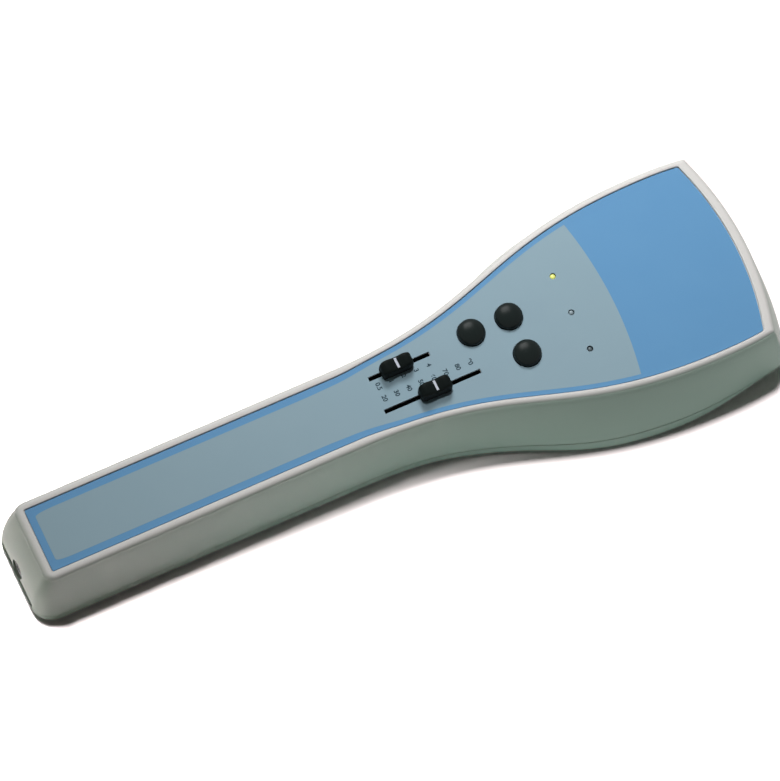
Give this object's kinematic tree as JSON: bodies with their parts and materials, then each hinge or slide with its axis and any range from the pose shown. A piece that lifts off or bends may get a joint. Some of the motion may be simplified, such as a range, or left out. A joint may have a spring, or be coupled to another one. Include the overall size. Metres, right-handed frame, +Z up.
{
  "type": "handheld screening audiometer",
  "caption": "Paddle-shaped handheld audiometer: slim battery handle, neck with slide controls and domed keys, wide head with a loudspeaker under it, sliding battery door.",
  "frame": {"origin": "middle of the bounding box's base, on the flat underside", "axes": "+X from the handle's end towards the loudspeaker head, +Y to the side of the lit indicator lamp, +Z up out of the front label"},
  "size_m": [0.3348, 0.104, 0.0468],
  "materials": {
    "shell": "fine texture, satin",
    "label": "satin printed film",
    "board": "green lacquer",
    "key_plastic": "satin black",
    "black_plastic": "matt",
    "magnet": "dull black ferrite",
    "tray": "matt",
    "cell_wrap": "satin",
    "steel": "zinc plated",
    "cone": "pressed paper",
    "cloth": "fine weave",
    "gasket": "foam",
    "lamp_clear": "clear, unlit",
    "lamp_lit": "lit yellow-green",
    "lead_red": "satin",
    "lead_black": "satin"
  },
  "bodies": {
    "housing": {"upper_shell": "shell", "lower_shell": "shell", "front_label": "label", "main_board": "board", "switch_select": "black_plastic", "switch_light": "black_plastic", "switch_stimulus": "black_plastic", "pot_short": "black_plastic", "pot_long": "black_plastic", "led_far": "lamp_lit", "led_middle": "lamp_clear", "led_near": "lamp_clear", "battery_tray": "tray", "cell_1": "cell_wrap", "cell_2": "cell_wrap", "contact_plus": "steel", "contact_minus": "steel", "contact_spring": "steel", "speaker_frame": "steel", "speaker_cone": "cone", "speaker_magnet": "magnet", "speaker_gasket": "gasket", "grille_cloth": "cloth", "speaker_screw_1": "steel", "speaker_screw_2": "steel", "speaker_screw_3": "steel", "speaker_screw_4": "steel", "lamp_lens": "lamp_clear", "lamp_bulb": "lamp_clear", "socket": "black_plastic", "housing_screw_1": "steel", "housing_screw_2": "steel", "housing_screw_3": "steel", "housing_screw_4": "steel", "housing_screw_5": "steel", "housing_screw_6": "steel", "board_screw_1": "steel", "board_screw_2": "steel", "board_screw_3": "steel", "board_screw_4": "steel", "lead_plus": "lead_red", "lead_minus": "lead_black", "lead_socket": "lead_black", "lead_speaker_plus": "lead_red", "lead_speaker_minus": "lead_black"},
    "select_key": {"key_select": "key_plastic"},
    "light_key": {"key_light": "key_plastic"},
    "stimulus_key": {"key_stimulus": "key_plastic"},
    "short_slider": {"knob_short": "key_plastic", "lever_short": "steel"},
    "long_slider": {"knob_long": "key_plastic", "lever_long": "steel"},
    "door": {"battery_door": "shell"}
  },
  "joints": [
    {"name": "select_press", "type": "slide", "parent": "housing", "child": "select_key", "axis": [0, 0, -1], "range_m": [0, 0.0008], "stiffness_N_per_m": 800, "springref_m": -0.0005},
    {"name": "light_press", "type": "slide", "parent": "housing", "child": "light_key", "axis": [0, 0, -1], "range_m": [0, 0.0008], "stiffness_N_per_m": 800, "springref_m": -0.0005},
    {"name": "stimulus_press", "type": "slide", "parent": "housing", "child": "stimulus_key", "axis": [0, 0, -1], "range_m": [0, 0.0008], "stiffness_N_per_m": 800, "springref_m": -0.0005},
    {"name": "short_slide", "type": "slide", "parent": "housing", "child": "short_slider", "axis": [1, 0, 0], "range_m": [-0.0098, 0.0125]},
    {"name": "long_slide", "type": "slide", "parent": "housing", "child": "long_slider", "axis": [1, 0, 0], "range_m": [-0.02, 0.0181]},
    {"name": "door_slide", "type": "slide", "parent": "housing", "child": "door", "axis": [-1, 0, 0], "range_m": [0, 0.008]}
  ]
}
